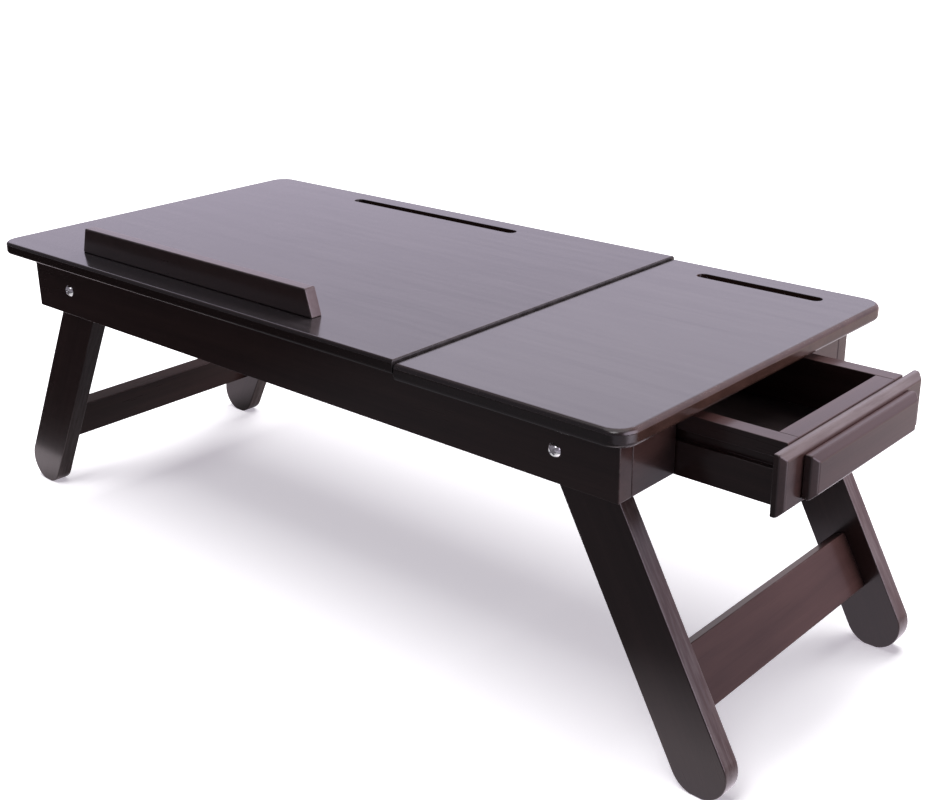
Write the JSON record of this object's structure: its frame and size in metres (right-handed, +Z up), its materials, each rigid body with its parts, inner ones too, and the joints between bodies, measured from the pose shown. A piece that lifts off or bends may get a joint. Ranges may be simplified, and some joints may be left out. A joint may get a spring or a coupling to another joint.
{
  "type": "lap desk",
  "caption": "Folding wooden lap desk with splayed folding legs, a tilting panel with a book ledge, a fixed panel over a side drawer, and grooves that stand up a tablet and a phone.",
  "frame": {"origin": "on the floor, under the middle of the box round the desk with its legs open and its drawer out", "axes": "+X along the length towards the drawer end, +Y from the ledge to the slots, +Z up"},
  "size_m": [0.7206, 0.294, 0.2471],
  "materials": {
    "top_lacquer": "dark espresso stain under semi-gloss lacquer",
    "frame_lacquer": "dark espresso stain under satin lacquer",
    "bare_wood": "bare hardwood",
    "chrome": "polished chrome plate",
    "steel": "zinc plated",
    "brass": "satin brass plated",
    "felt": "pressed felt"
  },
  "bodies": {
    "frame": {"front_apron": "frame_lacquer", "rear_apron": "frame_lacquer", "left_end_rail": "frame_lacquer", "right_end_rail_front": "frame_lacquer", "right_end_rail_rear": "frame_lacquer", "centre_rail": "frame_lacquer", "prop_rack": "frame_lacquer", "divider": "frame_lacquer", "guide_rail_front": "frame_lacquer", "guide_rail_rear": "frame_lacquer", "runner_front": "bare_wood", "runner_rear": "bare_wood", "right_panel": "top_lacquer", "frame_dowels": "bare_wood", "panel_dowels": "bare_wood", "guide_screws": "steel", "pivot_bolts": "chrome", "pivot_washers": "steel", "pivot_nuts": "steel", "hinge_frame_leaves": "brass", "hinge_pins": "steel", "hinge_frame_screws": "brass", "rest_pads": "felt"},
    "left_legs": {"left_front_leg": "frame_lacquer", "left_rear_leg": "frame_lacquer", "left_stretcher": "frame_lacquer", "left_stretcher_dowels": "bare_wood"},
    "right_legs": {"right_front_leg": "frame_lacquer", "right_rear_leg": "frame_lacquer", "right_stretcher": "frame_lacquer", "right_stretcher_dowels": "bare_wood"},
    "tilt_panel": {"left_panel": "top_lacquer", "ledge": "frame_lacquer", "ledge_screws": "steel", "hinge_panel_leaves": "brass", "hinge_panel_screws": "brass", "prop_bracket": "steel", "prop_pin": "steel", "prop_bracket_screws": "steel"},
    "prop": {"prop_stick": "frame_lacquer"},
    "drawer": {"drawer_side_front": "frame_lacquer", "drawer_side_rear": "frame_lacquer", "drawer_box_front": "frame_lacquer", "drawer_back": "frame_lacquer", "drawer_bottom": "frame_lacquer", "drawer_face": "frame_lacquer", "drawer_pull": "frame_lacquer", "drawer_dowels": "bare_wood", "face_screws": "steel", "pull_screws": "steel"}
  },
  "joints": [
    {"name": "left_leg_fold", "type": "hinge", "parent": "frame", "child": "left_legs", "pos_m": [-0.24676, 0, 0.194], "axis": [0, -1, 0], "range_deg": [0, 118.3]},
    {"name": "right_leg_fold", "type": "hinge", "parent": "frame", "child": "right_legs", "pos_m": [0.23186, 0, 0.194], "axis": [0, 1, 0], "range_deg": [0, 118.3]},
    {"name": "panel_tilt", "type": "hinge", "parent": "frame", "child": "tilt_panel", "pos_m": [-0.00745, -0.12905, 0.21675], "axis": [1, 0, 0], "range_deg": [0, 35]},
    {"name": "prop_swing", "type": "hinge", "parent": "tilt_panel", "child": "prop", "pos_m": [-0.00745, -0.01702, 0.2108], "axis": [-1, 0, 0], "range_deg": [0, 70]},
    {"name": "drawer_slide", "type": "slide", "parent": "frame", "child": "drawer", "axis": [1, 0, 0], "range_m": [-0.0684, 0.035]}
  ],
  "couplings": [
    {"joint": "prop_swing", "follows": "panel_tilt", "ratio": 2}
  ]
}
